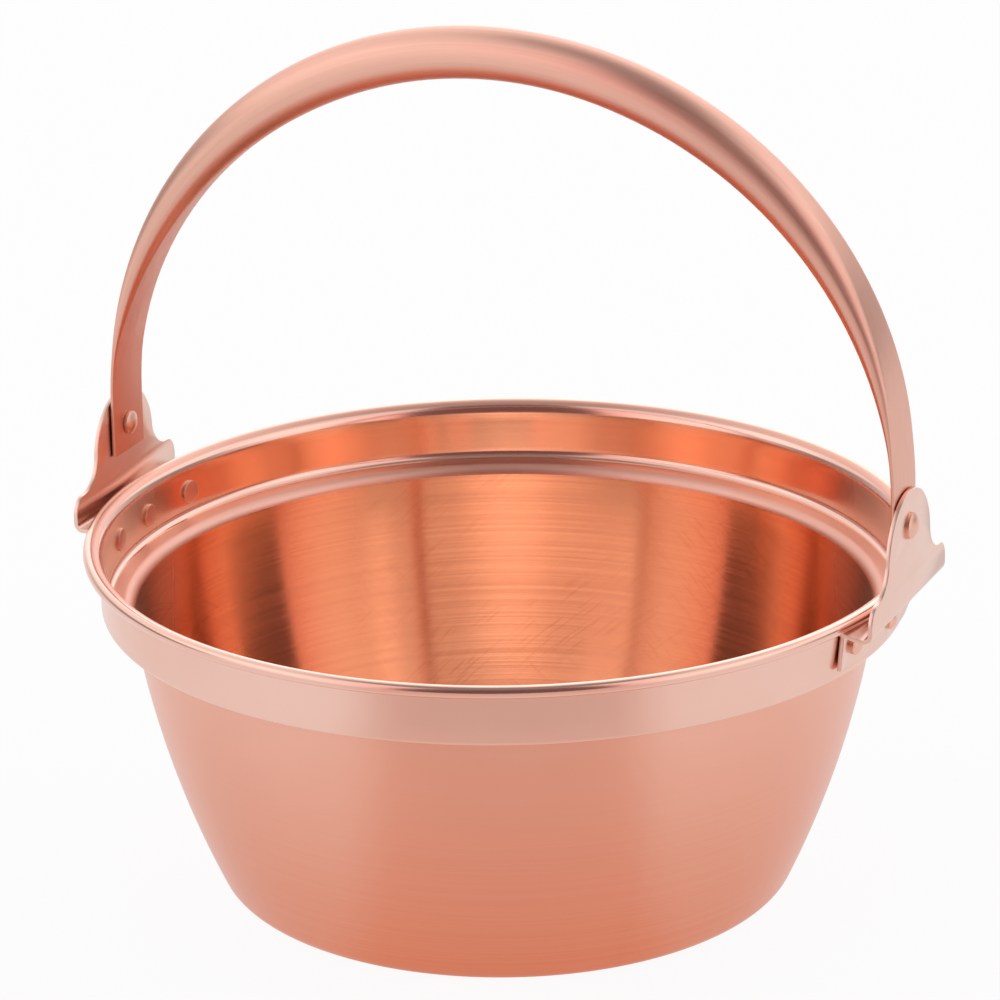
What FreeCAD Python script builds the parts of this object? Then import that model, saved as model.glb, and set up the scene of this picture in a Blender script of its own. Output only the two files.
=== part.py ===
"""Open copper kettle with a swinging bail handle, in millimetres.

The origin is the centre of the flat base, on the surface that the kettle stands on. Z is up and the
handle's pivot axis runs along X, so the upright handle lies in the XZ plane.
"""
import FreeCAD, Part
import math
import os
import re
import Sketcher

V = FreeCAD.Vector
Z_AXIS = V(0, 0, 1)
X_AXIS = V(1, 0, 0)

doc = FreeCAD.newDocument("kettle")

# Driving sizes, in millimetres and degrees.
SIZES = {
    # Spun pot
    "pot_height": 131.4,
    "pot_sheet": 1.2,
    "base_radius": 99.3,
    "base_corner": 8.4,
    "base_corner_turn": 66.0,
    "wall_curve": 367.0,
    "shoulder_fillet": 2.1,
    "band_radius": 147.1,
    "band_height": 23.8,
    "ledge_width": 10.9,
    "band_corner": 1.8,
    "ledge_corner": 0.6,
    "lip_radius": 3.7,
    "roll_diameter": 4.4,
    "wire_clearance": 0.05,
    # Handle tube and its flattened ends
    "pivot_rise": 23.0,
    "span_beyond_rim": 0.3,
    "arch_rise": 156.1,
    "straight_leg": 10.0,
    "strap_tail": 10.4,
    "strap_width": 23.2,
    "strap_thickness": 1.4,
    "strap_corner": 0.5,
    "grip_width": 18.2,
    "grip_depth": 18.6,
    "grip_flat": 0.8,
    "flat_until": 7.0,
    "round_from": 72.0,
    "tube_wall": 1.1,
    "hollow_from": 26.0,
    # Riveted brackets
    "bracket_sheet": 1.5,
    "bend_radius": 2.0,
    "web_gap": 0.9,
    "flange_lift": 4.2,
    "flange_end_cut": 4.1,
    "shoulder_half": 39.5,
    "shoulder_drop": 17.8,
    "shoulder_corner": 6.0,
    "dome_radius": 22.0,
    "dome_drop": 9.0,
    "flare_radius": 11.0,
    # Flange rivets
    "rivet_side": 28.6,
    "rivet_shank": 3.6,
    "rivet_drop_middle": 8.1,
    "rivet_drop_side": 7.6,
    "button_diameter": 6.6,
    "button_height": 2.9,
    "button_side": 1.5,
    "tail_diameter": 8.8,
    "tail_height": 1.0,
    "tail_edge": 0.4,
    # Handle pivots
    "pivot_shank": 6.0,
    "pivot_clearance": 0.08,
    "pivot_gap": 0.6,
    "pivot_play": 0.2,
    "washer_diameter": 12.0,
    "pivot_head_diameter": 9.5,
    "pivot_head_height": 2.8,
    "pivot_tail_diameter": 8.8,
    "pivot_tail_height": 2.4,
    "head_side": 1.0,
}

sheet = doc.addObject("Spreadsheet::Sheet", "Sizes")
for row, (alias, number) in enumerate(SIZES.items(), start=1):
    sheet.set(f"A{row}", alias)
    sheet.set(f"B{row}", str(number))
    sheet.setAlias(f"B{row}", alias)
doc.recompute()

# Places that several pieces share, each a formula over the driving sizes.
BAND_BOTTOM = "(pot_height - band_height)"
WALL_TOP = "(band_radius - ledge_width)"
ROLL_X = "(band_radius + lip_radius)"
ROLL_Z = "(pot_height - roll_diameter / 2)"
RIM_RADIUS = f"({ROLL_X} + roll_diameter / 2)"
LIP_TOP = "(lip_radius + pot_sheet)"
LIP_Z = f"(pot_height - {LIP_TOP})"
ROLL_INSIDE = "(roll_diameter / 2 - pot_sheet)"
LEDGE_TOP = f"({BAND_BOTTOM} + pot_sheet)"
BAND_INSIDE = "(band_radius - pot_sheet)"
FLANGE_OUTSIDE = "(band_radius + bracket_sheet)"
FLANGE_BOTTOM = f"({BAND_BOTTOM} + flange_lift)"
FLANGE_TURN = "asin(shoulder_half / band_radius)"
RIVET_TURN = "asin(rivet_side / band_radius)"
WEB_TOP = "(pot_height - roll_diameter - web_gap)"
WEB_UNDER = f"({WEB_TOP} - bracket_sheet)"
WEB_INNER_RADIUS = f"({FLANGE_OUTSIDE} + bend_radius)"
PIVOT_Z = "(pot_height + pivot_rise)"
HALF_SPAN = f"({RIM_RADIUS} + span_beyond_rim)"
STRAP_INSIDE = f"({HALF_SPAN} - strap_thickness / 2)"
STRAP_OUTSIDE = f"({HALF_SPAN} + strap_thickness / 2)"
PLATE_INSIDE = f"({STRAP_OUTSIDE} + pivot_gap)"
PLATE_OUTSIDE = f"({PLATE_INSIDE} + bracket_sheet)"
PLATE_BEND_X = f"({PLATE_INSIDE} - bend_radius)"


def value(formula):
    """The number that a formula over the driving sizes gives."""
    return float(sheet.evalExpression(formula))


def bound(formula):
    """The same formula as another object of the document reads it."""
    return re.sub(r"[a-z_]{3,}", lambda word: "Sizes." + word[0] if word[0] in SIZES else word[0], formula)


def bind(item, prop, formula):
    item.setExpression(prop, bound(formula))


def plane(body, role):
    return [feature for feature in body.Origin.OriginFeatures if feature.Role == role][0]


def outline(body, name, role, corners, lift=None):
    """A closed sketch through corners (across, up, edge), with every corner and radius bound to the sheet.

    The edge that leaves a corner is None for a straight line, or (radius, side) for an arc that bulges
    to the left of the way it runs where side is 1, and to the right where it is -1.
    """
    sketch = body.newObject("Sketcher::SketchObject", name)
    sketch.AttachmentSupport = [(plane(body, role), "")]
    sketch.MapMode = "FlatFace"
    if lift:
        bind(sketch, "AttachmentOffset.Base.z", lift)
    places = [V(value(across), value(up), 0) for across, up, _ in corners]
    starts, ends = [], []
    for index, (_, _, edge) in enumerate(corners):
        first, last = places[index], places[(index + 1) % len(places)]
        if edge is None:
            sketch.addGeometry(Part.LineSegment(first, last))
        else:
            run = last - first
            radius = value(edge[0])
            reach = math.sqrt(max(radius ** 2 - run.Length ** 2 / 4, 0))
            left = V(-run.y, run.x, 0).normalize()
            centre = (first + last) / 2 - left * reach * edge[1]
            turns = [math.atan2((end - centre).y, (end - centre).x) for end in (first, last)][::-edge[1]]
            sketch.addGeometry(Part.ArcOfCircle(Part.Circle(centre, Z_AXIS, radius), *turns))
        clockwise = edge is not None and edge[1] == 1
        starts.append(2 if clockwise else 1)
        ends.append(1 if clockwise else 2)
    for index, (across, up, edge) in enumerate(corners):
        after = (index + 1) % len(corners)
        sketch.addConstraint(Sketcher.Constraint("Coincident", index, ends[index], after, starts[after]))
        for kind, formula in (("DistanceX", across), ("DistanceY", up)):
            place = Sketcher.Constraint(kind, -1, 1, index, starts[index], value(formula))
            bind(sketch, f"Constraints[{sketch.addConstraint(place)}]", formula)
        if edge is not None:
            size = Sketcher.Constraint("Radius", index, value(edge[0]))
            bind(sketch, f"Constraints[{sketch.addConstraint(size)}]", edge[0])
    return sketch


def round_hole(sketch, across, up, radius):
    """A circle inside a sketch, bound to the sheet."""
    index = sketch.addGeometry(Part.Circle(V(value(across), value(up), 0), Z_AXIS, value(radius)))
    for kind, formula in (("DistanceX", across), ("DistanceY", up)):
        place = Sketcher.Constraint(kind, -1, 1, index, 3, value(formula))
        bind(sketch, f"Constraints[{sketch.addConstraint(place)}]", formula)
    size = sketch.addConstraint(Sketcher.Constraint("Radius", index, value(radius)))
    bind(sketch, f"Constraints[{size}]", radius)


def new_body(name):
    return doc.addObject("PartDesign::Body", name)


def revolve(body, sketch, axis, name, angle="360"):
    feature = body.newObject("PartDesign::Revolution", name)
    feature.Profile = sketch
    feature.ReferenceAxis = (sketch, [axis])
    feature.Midplane = True
    bind(feature, "Angle", angle)
    return feature


def pad(body, sketch, name, length, midplane=False):
    feature = body.newObject("PartDesign::Pad", name)
    feature.Profile = sketch
    feature.Midplane = midplane
    bind(feature, "Length", length)
    return feature


def cylinder(name, radius, height, placement=None, start=None):
    """A cylinder along its own Z, turned and moved by placement, starting at the formula start."""
    item = doc.addObject("Part::Cylinder", name)
    bind(item, "Radius", radius)
    bind(item, "Height", height)
    if placement:
        item.Placement = placement
    for prop, formula in (start or {}).items():
        bind(item, f"Placement.Base.{prop}", formula)
    return item


def combine(kind, name, base, tool):
    item = doc.addObject(kind, name)
    item.Base = base
    item.Tool = tool
    return item


ALONG_X = FreeCAD.Placement(V(0, 0, 0), FreeCAD.Rotation(Z_AXIS, X_AXIS))
SIDES = {"right": 0, "left": 180}
RIVET_PLACES = {"near": (f"-{RIVET_TURN}", "rivet_drop_side"),
                "middle": ("0", "rivet_drop_middle"),
                "far": (RIVET_TURN, "rivet_drop_side")}
parts = []


def finish(item, label):
    item.Label = label
    parts.append(item)
    return item


def rivet_holes(name, side_turn, diameter):
    """Three radial cylinders through the band and flange on one side of the pot."""
    holes = []
    for place, (turn, drop) in RIVET_PLACES.items():
        hole = cylinder(f"{name}_{place}", f"{diameter} / 2", RIM_RADIUS, start={"z": f"{WEB_TOP} - {drop}"})
        angle = side_turn + value(turn)
        hole.Placement.Rotation = FreeCAD.Rotation(Z_AXIS, angle) * ALONG_X.Rotation
        holes.append(hole)
    return holes


# Pot: one spun sheet with a flat base, a curved wall, a ledge, an upright band and a rolled rim.
CORNER_IN = "(base_corner - pot_sheet)"
ROLL_CENTRE_RISE = f"({LIP_TOP} - roll_diameter / 2)"
ROLL_MEETS_UP = (f"((lip_radius ^ 2 - (roll_diameter / 2) ^ 2 + {ROLL_CENTRE_RISE} ^ 2)"
                 f" / (2 * {ROLL_CENTRE_RISE}))")
ROLL_MEETS_ACROSS = f"sqrt(lip_radius ^ 2 - {ROLL_MEETS_UP} ^ 2)"
pot_outline = [
    ("0", "0", None),
    ("base_radius", "0", ("base_corner", -1)),
    ("base_radius + base_corner * sin(base_corner_turn)",
     "base_corner * (1 - cos(base_corner_turn))", ("wall_curve", -1)),
    (WALL_TOP, f"{BAND_BOTTOM} - shoulder_fillet", ("shoulder_fillet", 1)),
    (f"{WALL_TOP} + shoulder_fillet", BAND_BOTTOM, None),
    ("band_radius - band_corner", BAND_BOTTOM, ("band_corner", -1)),
    ("band_radius", f"{BAND_BOTTOM} + band_corner", None),
    ("band_radius", LIP_Z, ("lip_radius", 1)),
    (f"{ROLL_X} - {ROLL_MEETS_ACROSS}", f"{LIP_Z} + {ROLL_MEETS_UP}", ("roll_diameter / 2", -1)),
    (ROLL_X, "pot_height - roll_diameter", ("roll_diameter / 2", -1)),
    (RIM_RADIUS, ROLL_Z, ("roll_diameter / 2", -1)),
    (ROLL_X, "pot_height", (LIP_TOP, -1)),
    (BAND_INSIDE, LIP_Z, None),
    (BAND_INSIDE, f"{LEDGE_TOP} + ledge_corner", ("ledge_corner", 1)),
    (f"{BAND_INSIDE} - ledge_corner", LEDGE_TOP, None),
    (f"{WALL_TOP} + shoulder_fillet", LEDGE_TOP, ("shoulder_fillet + pot_sheet", -1)),
    (f"{WALL_TOP} - pot_sheet", f"{BAND_BOTTOM} - shoulder_fillet", ("wall_curve - pot_sheet", 1)),
    (f"base_radius + {CORNER_IN} * sin(base_corner_turn)",
     f"pot_sheet + {CORNER_IN} * (1 - cos(base_corner_turn))", (CORNER_IN, 1)),
    ("base_radius", "pot_sheet", None),
    ("0", "pot_sheet", None),
]
pot_body = new_body("pot_spinning")
pot_sketch = outline(pot_body, "pot_profile", "XZ_Plane", pot_outline)
round_hole(pot_sketch, ROLL_X, ROLL_Z, ROLL_INSIDE)
revolve(pot_body, pot_sketch, "V_Axis", "pot_turned")
pot_drill = doc.addObject("Part::MultiFuse", "pot_drill")
pot_drill.Shapes = [hole for side, side_turn in SIDES.items()
                    for hole in rivet_holes(f"{side}_pot_hole", side_turn, "rivet_shank")]
finish(combine("Part::Cut", "pot", pot_body, pot_drill), "pot_shell")

# Wire that the rim is rolled round.
wire = doc.addObject("Part::Torus", "wire")
bind(wire, "Radius1", ROLL_X)
bind(wire, "Radius2", f"{ROLL_INSIDE} - wire_clearance")
bind(wire, "Placement.Base.z", ROLL_Z)
finish(wire, "rim_wire")


def bracket(side, side_turn):
    """One bent plate: a flange curved to the band, a level web under the rim and an upright bell plate."""
    body = new_body(f"{side}_bracket_plate")
    bend_z = f"({WEB_UNDER} - bend_radius)"
    flange = outline(body, f"{side}_flange_profile", "XZ_Plane", [
        ("band_radius", FLANGE_BOTTOM, None),
        (FLANGE_OUTSIDE, FLANGE_BOTTOM, None),
        (FLANGE_OUTSIDE, bend_z, ("bend_radius", 1)),
        (WEB_INNER_RADIUS, WEB_UNDER, None),
        (WEB_INNER_RADIUS, WEB_TOP, ("bend_radius + bracket_sheet", -1)),
        ("band_radius", bend_z, None),
    ])
    revolve(body, flange, "V_Axis", f"{side}_flange", f"2 * {FLANGE_TURN}")
    end_x = f"{WEB_INNER_RADIUS} * cos({FLANGE_TURN})"
    end_y = f"{WEB_INNER_RADIUS} * sin({FLANGE_TURN})"
    web = outline(body, f"{side}_web_outline", "XY_Plane", [
        (end_x, f"-{end_y}", None),
        (PLATE_BEND_X, "-shoulder_half", None),
        (PLATE_BEND_X, "shoulder_half", None),
        (end_x, end_y, (WEB_INNER_RADIUS, 1)),
    ], WEB_UNDER)
    pad(body, web, f"{side}_web", "bracket_sheet")
    bend = outline(body, f"{side}_bend_profile", "XZ_Plane", [
        (PLATE_BEND_X, WEB_UNDER, ("bend_radius + bracket_sheet", -1)),
        (PLATE_OUTSIDE, f"{WEB_TOP} + bend_radius", None),
        (PLATE_INSIDE, f"{WEB_TOP} + bend_radius", ("bend_radius", 1)),
        (PLATE_BEND_X, WEB_TOP, None),
    ])
    pad(body, bend, f"{side}_bend", "2 * shoulder_half", True)
    shoulder_z = f"({PIVOT_Z} - shoulder_drop)"
    dome_z = f"({PIVOT_Z} - dome_drop)"
    flare_rise = f"({shoulder_z} + flare_radius - {dome_z})"
    flare_y = f"sqrt((dome_radius + flare_radius) ^ 2 - {flare_rise} ^ 2)"
    share = "dome_radius / (dome_radius + flare_radius)"
    meet_y = f"{share} * {flare_y}"
    meet_z = f"{dome_z} + {share} * {flare_rise}"
    plate_outline = outline(body, f"{side}_bell_outline", "YZ_Plane", [
        ("-shoulder_half", f"{WEB_TOP} + bend_radius", None),
        ("shoulder_half", f"{WEB_TOP} + bend_radius", None),
        ("shoulder_half", f"{shoulder_z} - shoulder_corner", ("shoulder_corner", -1)),
        ("shoulder_half - shoulder_corner", shoulder_z, None),
        (flare_y, shoulder_z, ("flare_radius", 1)),
        (meet_y, meet_z, ("dome_radius", -1)),
        ("0", f"{dome_z} + dome_radius", ("dome_radius", -1)),
        (f"-{meet_y}", meet_z, ("flare_radius", 1)),
        (f"-{flare_y}", shoulder_z, None),
        ("-shoulder_half + shoulder_corner", shoulder_z, ("shoulder_corner", -1)),
        ("-shoulder_half", f"{shoulder_z} - shoulder_corner", None),
    ], PLATE_INSIDE)
    pad(body, plate_outline, f"{side}_bell", "bracket_sheet")
    for name, sign in (("near", "-"), ("far", "")):
        wedge = outline(body, f"{side}_{name}_slant", "YZ_Plane", [
            (f"{sign}shoulder_half", BAND_BOTTOM, None),
            (f"{sign}(shoulder_half + flange_end_cut)", BAND_BOTTOM, None),
            (f"{sign}(shoulder_half + flange_end_cut)", WEB_UNDER, None),
            (f"{sign}(shoulder_half - flange_end_cut)", WEB_UNDER, None),
        ])
        cut = body.newObject("PartDesign::Pocket", f"{side}_{name}_cut")
        cut.Profile = wedge
        cut.Reversed = True
        bind(cut, "Length", f"{FLANGE_OUTSIDE}")
    pivot = cylinder(f"{side}_pivot_hole", "pivot_shank / 2", f"2 * {HALF_SPAN}", ALONG_X, {"z": PIVOT_Z})
    drill = doc.addObject("Part::MultiFuse", f"{side}_bracket_drill")
    drill.Shapes = rivet_holes(f"{side}_flange_hole", 0, "rivet_shank") + [pivot]
    item = finish(combine("Part::Cut", f"{side}_bracket_drilled", body, drill), f"{side}_bracket")
    item.Placement.Rotation = FreeCAD.Rotation(Z_AXIS, side_turn)


def flange_rivet(side, side_turn, place):
    """A rivet along a radius of the pot, its button and tail seated on the curved faces they clamp."""
    turn, drop = RIVET_PLACES[place]
    name = f"{side}_{place}_rivet"
    body = new_body(f"{name}_turned")
    tail_end = f"({BAND_INSIDE} - tail_height)"
    button_end = f"({FLANGE_OUTSIDE} + button_height)"
    cap_rise = "(button_height - button_side)"
    cap_radius = f"((button_diameter ^ 2 / 4 + {cap_rise} ^ 2) / (2 * {cap_rise}))"
    profile = outline(body, f"{name}_profile", "XZ_Plane", [
        (tail_end, "0", None),
        (button_end, "0", (cap_radius, -1)),
        (f"{button_end} - {cap_rise}", "button_diameter / 2", None),
        (f"{FLANGE_OUTSIDE} - bracket_sheet / 2", "button_diameter / 2", None),
        (f"{FLANGE_OUTSIDE} - bracket_sheet / 2", "rivet_shank / 2", None),
        (f"{BAND_INSIDE} + pot_sheet / 2", "rivet_shank / 2", None),
        (f"{BAND_INSIDE} + pot_sheet / 2", "tail_diameter / 2", None),
        (f"{tail_end} + tail_edge", "tail_diameter / 2", ("tail_edge", -1)),
        (tail_end, "tail_diameter / 2 - tail_edge", None),
    ])
    revolve(body, profile, "H_Axis", f"{name}_solid")
    low = {"z": "-tail_diameter"}
    clamped = combine("Part::Cut", f"{name}_clamped",
                      cylinder(f"{name}_outer", FLANGE_OUTSIDE, "2 * tail_diameter", start=low),
                      cylinder(f"{name}_inner", BAND_INSIDE, "2 * tail_diameter", start=low))
    seat = combine("Part::Cut", f"{name}_seat", clamped,
                   cylinder(f"{name}_bore", "rivet_shank / 2", RIM_RADIUS, ALONG_X))
    item = finish(combine("Part::Cut", f"{name}_set", body, seat), name)
    item.Placement.Rotation = FreeCAD.Rotation(Z_AXIS, side_turn + value(turn))
    bind(item, "Placement.Base.z", f"{WEB_TOP} - {drop}")


def pivot_rivet(side, side_turn):
    """The hinge pin of the handle: a domed head outside the plate, and a tail that keeps the strap on."""
    body = finish(new_body(f"{side}_pivot"), f"{side}_pivot_rivet")
    tail_face = f"({STRAP_INSIDE} - pivot_play)"
    tail_end = f"({tail_face} - pivot_tail_height)"
    tail_rise = "(pivot_tail_height - head_side)"
    tail_cap = f"((pivot_tail_diameter ^ 2 / 4 + {tail_rise} ^ 2) / (2 * {tail_rise}))"
    head_end = f"({PLATE_OUTSIDE} + pivot_head_height)"
    head_rise = "(pivot_head_height - head_side)"
    head_cap = f"((pivot_head_diameter ^ 2 / 4 + {head_rise} ^ 2) / (2 * {head_rise}))"
    profile = outline(body, f"{side}_pivot_profile", "XZ_Plane", [
        (tail_end, "0", None),
        (head_end, "0", (head_cap, -1)),
        (f"{head_end} - {head_rise}", "pivot_head_diameter / 2", None),
        (PLATE_OUTSIDE, "pivot_head_diameter / 2", None),
        (PLATE_OUTSIDE, "pivot_shank / 2", None),
        (tail_face, "pivot_shank / 2", None),
        (tail_face, "pivot_tail_diameter / 2", None),
        (f"{tail_end} + {tail_rise}", "pivot_tail_diameter / 2", (tail_cap, -1)),
    ])
    revolve(body, profile, "H_Axis", f"{side}_pivot_solid")
    body.Placement.Rotation = FreeCAD.Rotation(Z_AXIS, side_turn)
    bind(body, "Placement.Base.z", PIVOT_Z)


def spacer_washer(side, side_turn):
    """The thin ring on the pivot that keeps the strap off the bell plate."""
    thickness = "(pivot_gap - pivot_play)"
    start = {"x": f"{PLATE_INSIDE} - {thickness}"}
    ring = cylinder(f"{side}_washer_disc", "washer_diameter / 2", thickness, ALONG_X, start)
    bore = cylinder(f"{side}_washer_bore", "pivot_shank / 2 + pivot_clearance", f"2 * {HALF_SPAN}", ALONG_X)
    item = finish(combine("Part::Cut", f"{side}_washer", ring, bore), f"{side}_spacer_washer")
    item.Placement.Rotation = FreeCAD.Rotation(Z_AXIS, side_turn)
    bind(item, "Placement.Base.z", PIVOT_Z)


for side, side_turn in SIDES.items():
    bracket(side, side_turn)
    for place in RIVET_PLACES:
        flange_rivet(side, side_turn, place)
    pivot_rivet(side, side_turn)
    spacer_washer(side, side_turn)

# Handle: a copper tube bent to half an ellipse over two straight legs, and pressed flat towards its ends.
# Its section changes all the way along, so it is a loft through rounded rectangles square to the bend.
ARCH_STEP = 6
ARCH_TURN = 180
LEG_STEPS = 3


def tube_section(angle, drop, inset):
    """The tube's rounded rectangle at an angle round the arch, or below the arch's start by drop."""
    height = value("arch_rise - straight_leg")
    turn = math.radians(angle)
    centre = V(value(HALF_SPAN) * math.cos(turn), 0,
               value(f"{PIVOT_Z} + straight_leg") + height * math.sin(turn) - drop)
    along = V(-value(HALF_SPAN) * math.sin(turn), 0, height * math.cos(turn)).normalize()
    out = V(along.z, 0, -along.x)
    climb = min(angle, ARCH_TURN - angle)
    ratio = (climb - value("flat_until")) / value("round_from - flat_until")
    blend = math.sin(math.pi / 2 * min(max(ratio, 0), 1))
    deep = value("strap_thickness") / 2 * (1 - blend) + value("grip_depth") / 2 * blend - inset
    wide = value("strap_width") / 2 * (1 - blend) + value("grip_width") / 2 * blend - inset
    strap_flat = value("strap_thickness / 2 - strap_corner")
    flat = strap_flat * (1 - blend) + value("grip_flat") / 2 * blend
    corner = min(deep, wide) - flat
    half_root = corner * (1 - math.sqrt(0.5))

    def spot(depth, width):
        return centre + out * depth + V(0, 1, 0) * width

    edges = []
    for depth_sign, width_sign in ((1, 1), (-1, 1), (-1, -1), (1, -1)):
        side_spot = spot(depth_sign * deep, width_sign * (wide - corner))
        middle = spot(depth_sign * (deep - half_root), width_sign * (wide - half_root))
        end_spot = spot(depth_sign * (deep - corner), width_sign * wide)
        run = (side_spot, middle, end_spot)
        edges.append(run if depth_sign == width_sign else run[::-1])
    wires = []
    for index, run in enumerate(edges):
        following = edges[(index + 1) % len(edges)]
        wires.append(Part.Arc(*run).toShape())
        wires.append(Part.LineSegment(run[2], following[0]).toShape())
    return Part.Wire(wires)


leg = value("straight_leg + strap_tail")
legs = [leg * (LEG_STEPS - step) / LEG_STEPS for step in range(LEG_STEPS)]
arch = [float(angle) for angle in range(0, ARCH_TURN + 1, ARCH_STEP)]
stations = [(0.0, drop) for drop in legs] + [(angle, 0.0) for angle in arch]
stations += [(ARCH_TURN, drop) for drop in reversed(legs)]
tube = Part.makeLoft([tube_section(angle, drop, 0) for angle, drop in stations], True, False)
hollow_from = value("hollow_from")
hollow_turn = ARCH_TURN - 2 * hollow_from
hollow_steps = round(hollow_turn / ARCH_STEP)
hollow_angles = [hollow_from + hollow_turn * step / hollow_steps for step in range(hollow_steps + 1)]
hollow = Part.makeLoft([tube_section(angle, 0, value("tube_wall")) for angle in hollow_angles], True, False)
pin_radius = value("pivot_shank / 2 + pivot_clearance")
pin_bore = Part.makeCylinder(pin_radius, value(f"4 * {HALF_SPAN}"),
                             V(-value(f"2 * {HALF_SPAN}"), 0, value(PIVOT_Z)), X_AXIS)
handle = doc.addObject("Part::Feature", "handle_tube")
handle.Shape = tube.cut(hollow).cut(pin_bore)
finish(handle, "bail_handle")

doc.recompute()

for item in doc.Objects:
    if "Invalid" in item.State or "Error" in item.State:
        raise RuntimeError(f"{item.Label} did not compute: {item.State}")
for item in parts:
    if item.Shape.isNull() or not item.Shape.isValid() or len(item.Shape.Solids) != 1:
        raise RuntimeError(f"{item.Label} is not one sound solid")

os.makedirs("parts", exist_ok=True)
for item in parts:
    item.Shape.exportStep(f"parts/{item.Label}.step")
    box = item.Shape.BoundBox
    spans = " x ".join(f"{span:.1f}" for span in (box.XLength, box.YLength, box.ZLength))
    print(f"{item.Label}: {item.Shape.Volume:.0f} mm3, {spans} mm")
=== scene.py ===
# %% [markdown]
# # An open copper kettle with a swinging bail handle
# The kettle is a spun copper pot with a stepped band and a rolled rim. Two bent brackets are riveted to
# the band, and an arched handle hinges between them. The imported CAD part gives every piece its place
# and size, in metres. This lesson builds the visible surfaces around that frame, one piece at a time.

# %% Load the frame
import math

import bmesh
import bpy
from mathutils import Matrix, Vector


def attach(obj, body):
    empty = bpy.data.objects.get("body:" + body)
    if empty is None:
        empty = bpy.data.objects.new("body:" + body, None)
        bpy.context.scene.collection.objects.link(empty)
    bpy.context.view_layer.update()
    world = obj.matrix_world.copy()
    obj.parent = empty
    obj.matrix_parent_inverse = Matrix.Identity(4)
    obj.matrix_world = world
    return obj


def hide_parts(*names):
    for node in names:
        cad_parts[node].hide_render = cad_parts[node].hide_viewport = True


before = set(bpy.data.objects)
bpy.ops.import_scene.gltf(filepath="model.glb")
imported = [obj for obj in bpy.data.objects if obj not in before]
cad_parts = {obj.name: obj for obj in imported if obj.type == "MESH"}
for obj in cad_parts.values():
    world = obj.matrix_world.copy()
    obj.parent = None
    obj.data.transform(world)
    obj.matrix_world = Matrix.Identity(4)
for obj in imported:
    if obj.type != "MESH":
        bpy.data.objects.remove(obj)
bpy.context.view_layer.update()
MM = 0.001

# %% [markdown]
# ## The camera
# The photograph was taken with a long lens from a little above the rim, turned about 24 degrees from the
# handle's front. A long lens keeps the near and far rim almost the same width, so the camera stands far
# off and its focal length makes up for it. No shift is needed, because the view is centred.

# %% Place the camera
camera_data = bpy.data.cameras.new("camera")
camera_data.sensor_width = 36
camera_data.lens = 174.54
camera = bpy.data.objects.new("camera", camera_data)
camera.location = (0.6667, -1.5194, 0.7440)
camera.rotation_euler = [math.radians(turn) for turn in (70.098, 0.771, 23.447)]
bpy.context.scene.collection.objects.link(camera)
bpy.context.scene.camera = camera
print("camera", tuple(camera.location), "lens", camera_data.lens)

# %% [markdown]
# ## The spun pot
# The real pot is a copper disc pressed over a turning form, so every cross-section is a circle. A lathe
# profile says all there is to know about it: this cell walks along the outside, over the rolled rim and
# back down the inside. The corners are drawn with short arcs, because a spun sheet has no sharp corner.
# Spinning the profile gives the closed shell, and merging doubles closes the two poles.

# %% Helpers for a lathe profile
def arc(centre, radius, start, end, steps):
    """Points of an arc in the profile's plane, in millimetres, from one angle in degrees to another."""
    turns = [math.radians(start + (end - start) * step / steps) for step in range(steps + 1)]
    return [(centre[0] + radius * math.cos(turn), centre[1] + radius * math.sin(turn)) for turn in turns]


def lathe(profile, steps):
    """A closed mesh of a profile (radius, height) in millimetres, spun once round the Z axis."""
    shape = bmesh.new()
    line = [shape.verts.new((across * MM, 0, up * MM)) for across, up in profile]
    edges = [shape.edges.new(pair) for pair in zip(line, line[1:])]
    bmesh.ops.spin(shape, geom=line + edges, cent=(0, 0, 0), axis=(0, 0, 1), angle=2 * math.pi,
                   steps=steps, use_merge=True)
    bmesh.ops.remove_doubles(shape, verts=shape.verts, dist=1e-6)
    bmesh.ops.recalc_face_normals(shape, faces=shape.faces)
    return shape


def piece(name, shape, body, smooth_angle=40):
    """A finished object of a bmesh that rides on a body, shaded smooth except across sharp edges."""
    for face in shape.faces:
        face.smooth = True
    for edge in shape.edges:
        edge.smooth = not (len(edge.link_faces) == 2 and edge.calc_face_angle(0) > math.radians(smooth_angle))
    mesh = bpy.data.meshes.new(name)
    shape.to_mesh(mesh)
    shape.free()
    item = bpy.data.objects.new(name, mesh)
    bpy.context.scene.collection.objects.link(item)
    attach(item, body)
    print(name, len(mesh.vertices), "vertices", len(mesh.polygons), "faces")
    return item


# %% Profile of the pot
SHEET = 1.2
RIM_Z, BAND_R, ROLL_R, ROLL_X = 131.4, 147.1, 2.2, 150.8
LIP_UNDER = ROLL_X - BAND_R
LIP_Z = RIM_Z - LIP_UNDER - SHEET
BASE_R, CORNER, CORNER_TURN = 99.3, 8.4, 66.0
WALL_R, WALL_BULGE, SHOULDER_Z, LEDGE_Z, SHOULDER = 136.2, 367.0, 105.5, 107.6, 2.1
BAND_INSIDE, LEDGE_TOP = BAND_R - SHEET, LEDGE_Z + SHEET
BAND_CORNER, INNER_CORNER, INNER_SHOULDER = 1.8, 3.0, 4.3
BAND_TOP, BAND_FOOT_OUT, BAND_FOOT_IN = LIP_Z - 3, LEDGE_Z + 8, LEDGE_TOP + 4
BASE_RINGS = (50.0, 92.0)


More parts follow.
